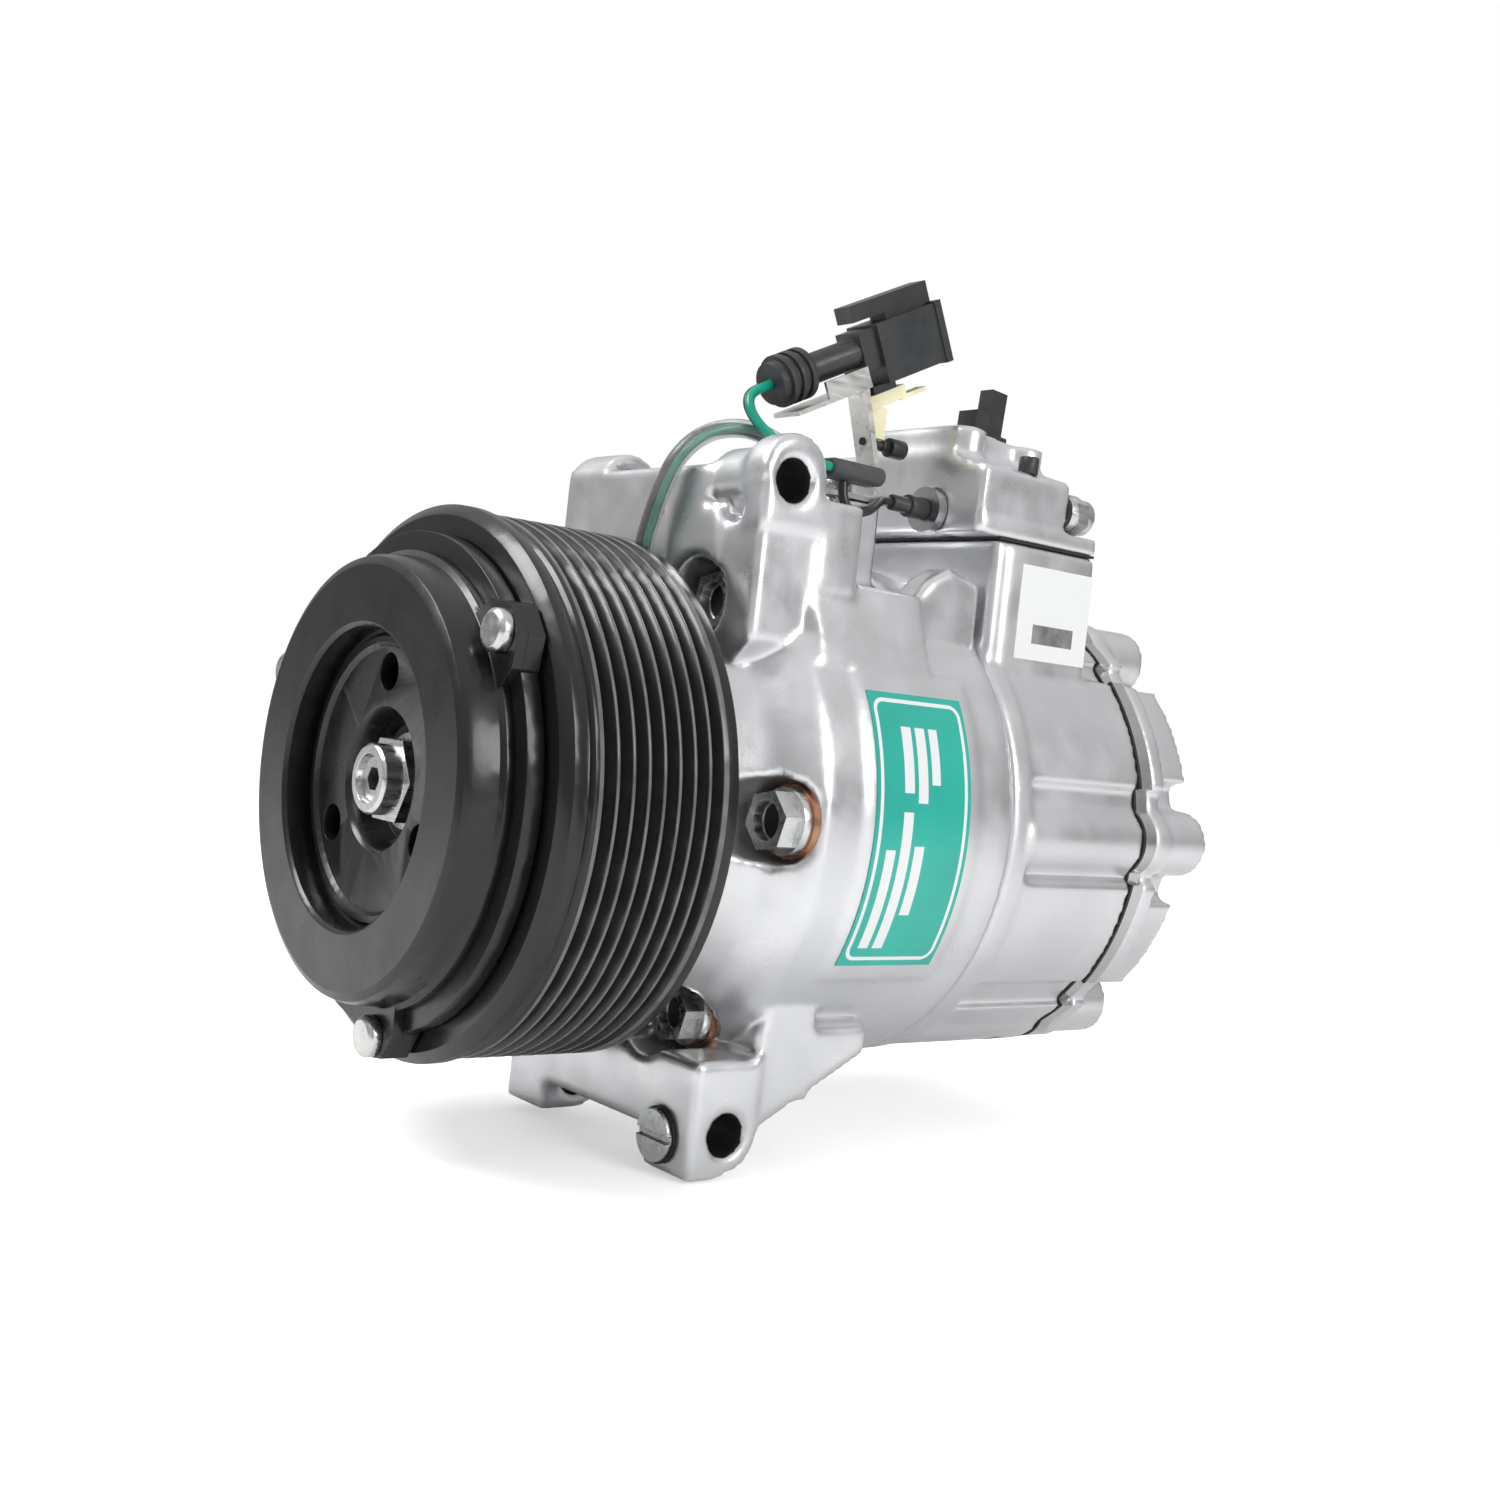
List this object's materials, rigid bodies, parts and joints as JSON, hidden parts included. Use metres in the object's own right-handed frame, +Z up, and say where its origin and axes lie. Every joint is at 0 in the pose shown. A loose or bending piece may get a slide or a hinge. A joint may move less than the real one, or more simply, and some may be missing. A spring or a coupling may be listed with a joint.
{
  "type": "automotive ac compressor",
  "caption": "Belt-driven air-conditioning compressor: ribbed pulley with clutch, cast casings with mounting ears, port block and wire connector.",
  "frame": {"origin": "on the drive shaft's axis, in the plane of the four transverse mounting bores", "axes": "+Y along the shaft away from the pulley, +Z up through the port block, +X towards the label side"},
  "size_m": [0.1185, 0.201, 0.1976],
  "materials": {
    "cast_aluminium": "as-cast satin",
    "machined_aluminium": "fine machined",
    "black_coated_steel": "black e-coat, semi-gloss",
    "zinc_plated_steel": "zinc plated",
    "ground_steel": "ground",
    "black_rubber": "matte",
    "potting_resin": "cured resin",
    "copper": "plain copper",
    "black_plastic": "moulded, fine grain",
    "natural_nylon": "unpigmented nylon",
    "tin_plated_brass": "tin plated",
    "clear_sleeve": "clear flexible sleeve",
    "teal_wire": "PVC insulation",
    "black_wire": "PVC insulation",
    "teal_label": "printed foil, blank",
    "white_label": "printed paper, blank"
  },
  "bodies": {
    "casing": {"bearing_inner_ring": "ground_steel", "bracket_peg": "black_plastic", "bracket_screw": "zinc_plated_steel", "check_valve_spring": "ground_steel", "clutch_lead": "clear_sleeve", "coil_shell": "black_coated_steel", "coil_winding": "potting_resin", "connector_body": "black_plastic", "connector_boot": "black_rubber", "connector_bracket": "zinc_plated_steel", "connector_clip": "natural_nylon", "connector_lead": "teal_wire", "connector_terminals": "tin_plated_brass", "control_valve_body": "ground_steel", "control_valve_coil": "black_plastic", "copper_washers": "copper", "cylinder_block": "cast_aluminium", "discharge_reed_plate": "ground_steel", "drain_plug": "zinc_plated_steel", "front_housing": "cast_aluminium", "front_thrust_bearing": "ground_steel", "hole_cap": "black_plastic", "needle_bearings": "ground_steel", "piston_shoes": "ground_steel", "pistons": "machined_aluminium", "port_block": "machined_aluminium", "port_block_bolts": "zinc_plated_steel", "port_cap": "black_plastic", "port_gasket": "black_rubber", "rating_label": "teal_label", "rear_gasket": "black_rubber", "rear_head": "cast_aluminium", "rear_thrust_washer": "ground_steel", "relief_valve": "zinc_plated_steel", "seal_rings": "black_rubber", "serial_label": "white_label", "shaft_seal": "black_rubber", "snap_rings": "ground_steel", "splice_sleeve": "black_rubber", "suction_reed_plate": "ground_steel", "through_bolts": "zinc_plated_steel", "valve_lead": "black_wire", "valve_plate": "ground_steel"},
    "pulley_set": {"pulley": "black_coated_steel", "bearing_outer_ring": "ground_steel", "bearing_seals": "black_rubber"},
    "ball_set": {"bearing_balls": "ground_steel"},
    "rotor": {"drive_shaft": "ground_steel", "hub_plate": "black_coated_steel", "hub_nut": "zinc_plated_steel", "lug_plate": "black_coated_steel", "hinge_pin": "ground_steel", "swash_plate": "ground_steel", "swash_spring": "ground_steel"},
    "clutch_plate": {"clutch_cup": "black_coated_steel", "rubber_damper": "black_rubber", "armature_plate": "black_coated_steel", "clutch_rivets": "zinc_plated_steel"},
    "valve_spool": {"control_valve_spool": "ground_steel"},
    "check_valve": {"check_valve_poppet": "ground_steel"}
  },
  "joints": [
    {"name": "pulley_spin", "type": "hinge", "parent": "casing", "child": "pulley_set", "pos_m": [0, 0, 0], "axis": [0, 1, 0], "continuous": true},
    {"name": "ball_orbit", "type": "hinge", "parent": "casing", "child": "ball_set", "pos_m": [0, 0, 0], "axis": [0, 1, 0], "continuous": true},
    {"name": "shaft_spin", "type": "hinge", "parent": "casing", "child": "rotor", "pos_m": [0, 0, 0], "axis": [0, 1, 0], "continuous": true},
    {"name": "clutch_engage", "type": "slide", "parent": "rotor", "child": "clutch_plate", "axis": [0, 1, 0], "range_m": [0, 0.0005], "stiffness_N_per_m": 20000},
    {"name": "spool_slide", "type": "slide", "parent": "casing", "child": "valve_spool", "axis": [0, 1, 0], "range_m": [0, 0.001], "stiffness_N_per_m": 400},
    {"name": "check_valve_lift", "type": "slide", "parent": "casing", "child": "check_valve", "axis": [0, 0, 1], "range_m": [0, 0.0025], "stiffness_N_per_m": 300, "deforming": ["check_valve_spring"]}
  ],
  "couplings": [
    {"joint": "ball_orbit", "follows": "pulley_spin", "ratio": 0.58}
  ]
}
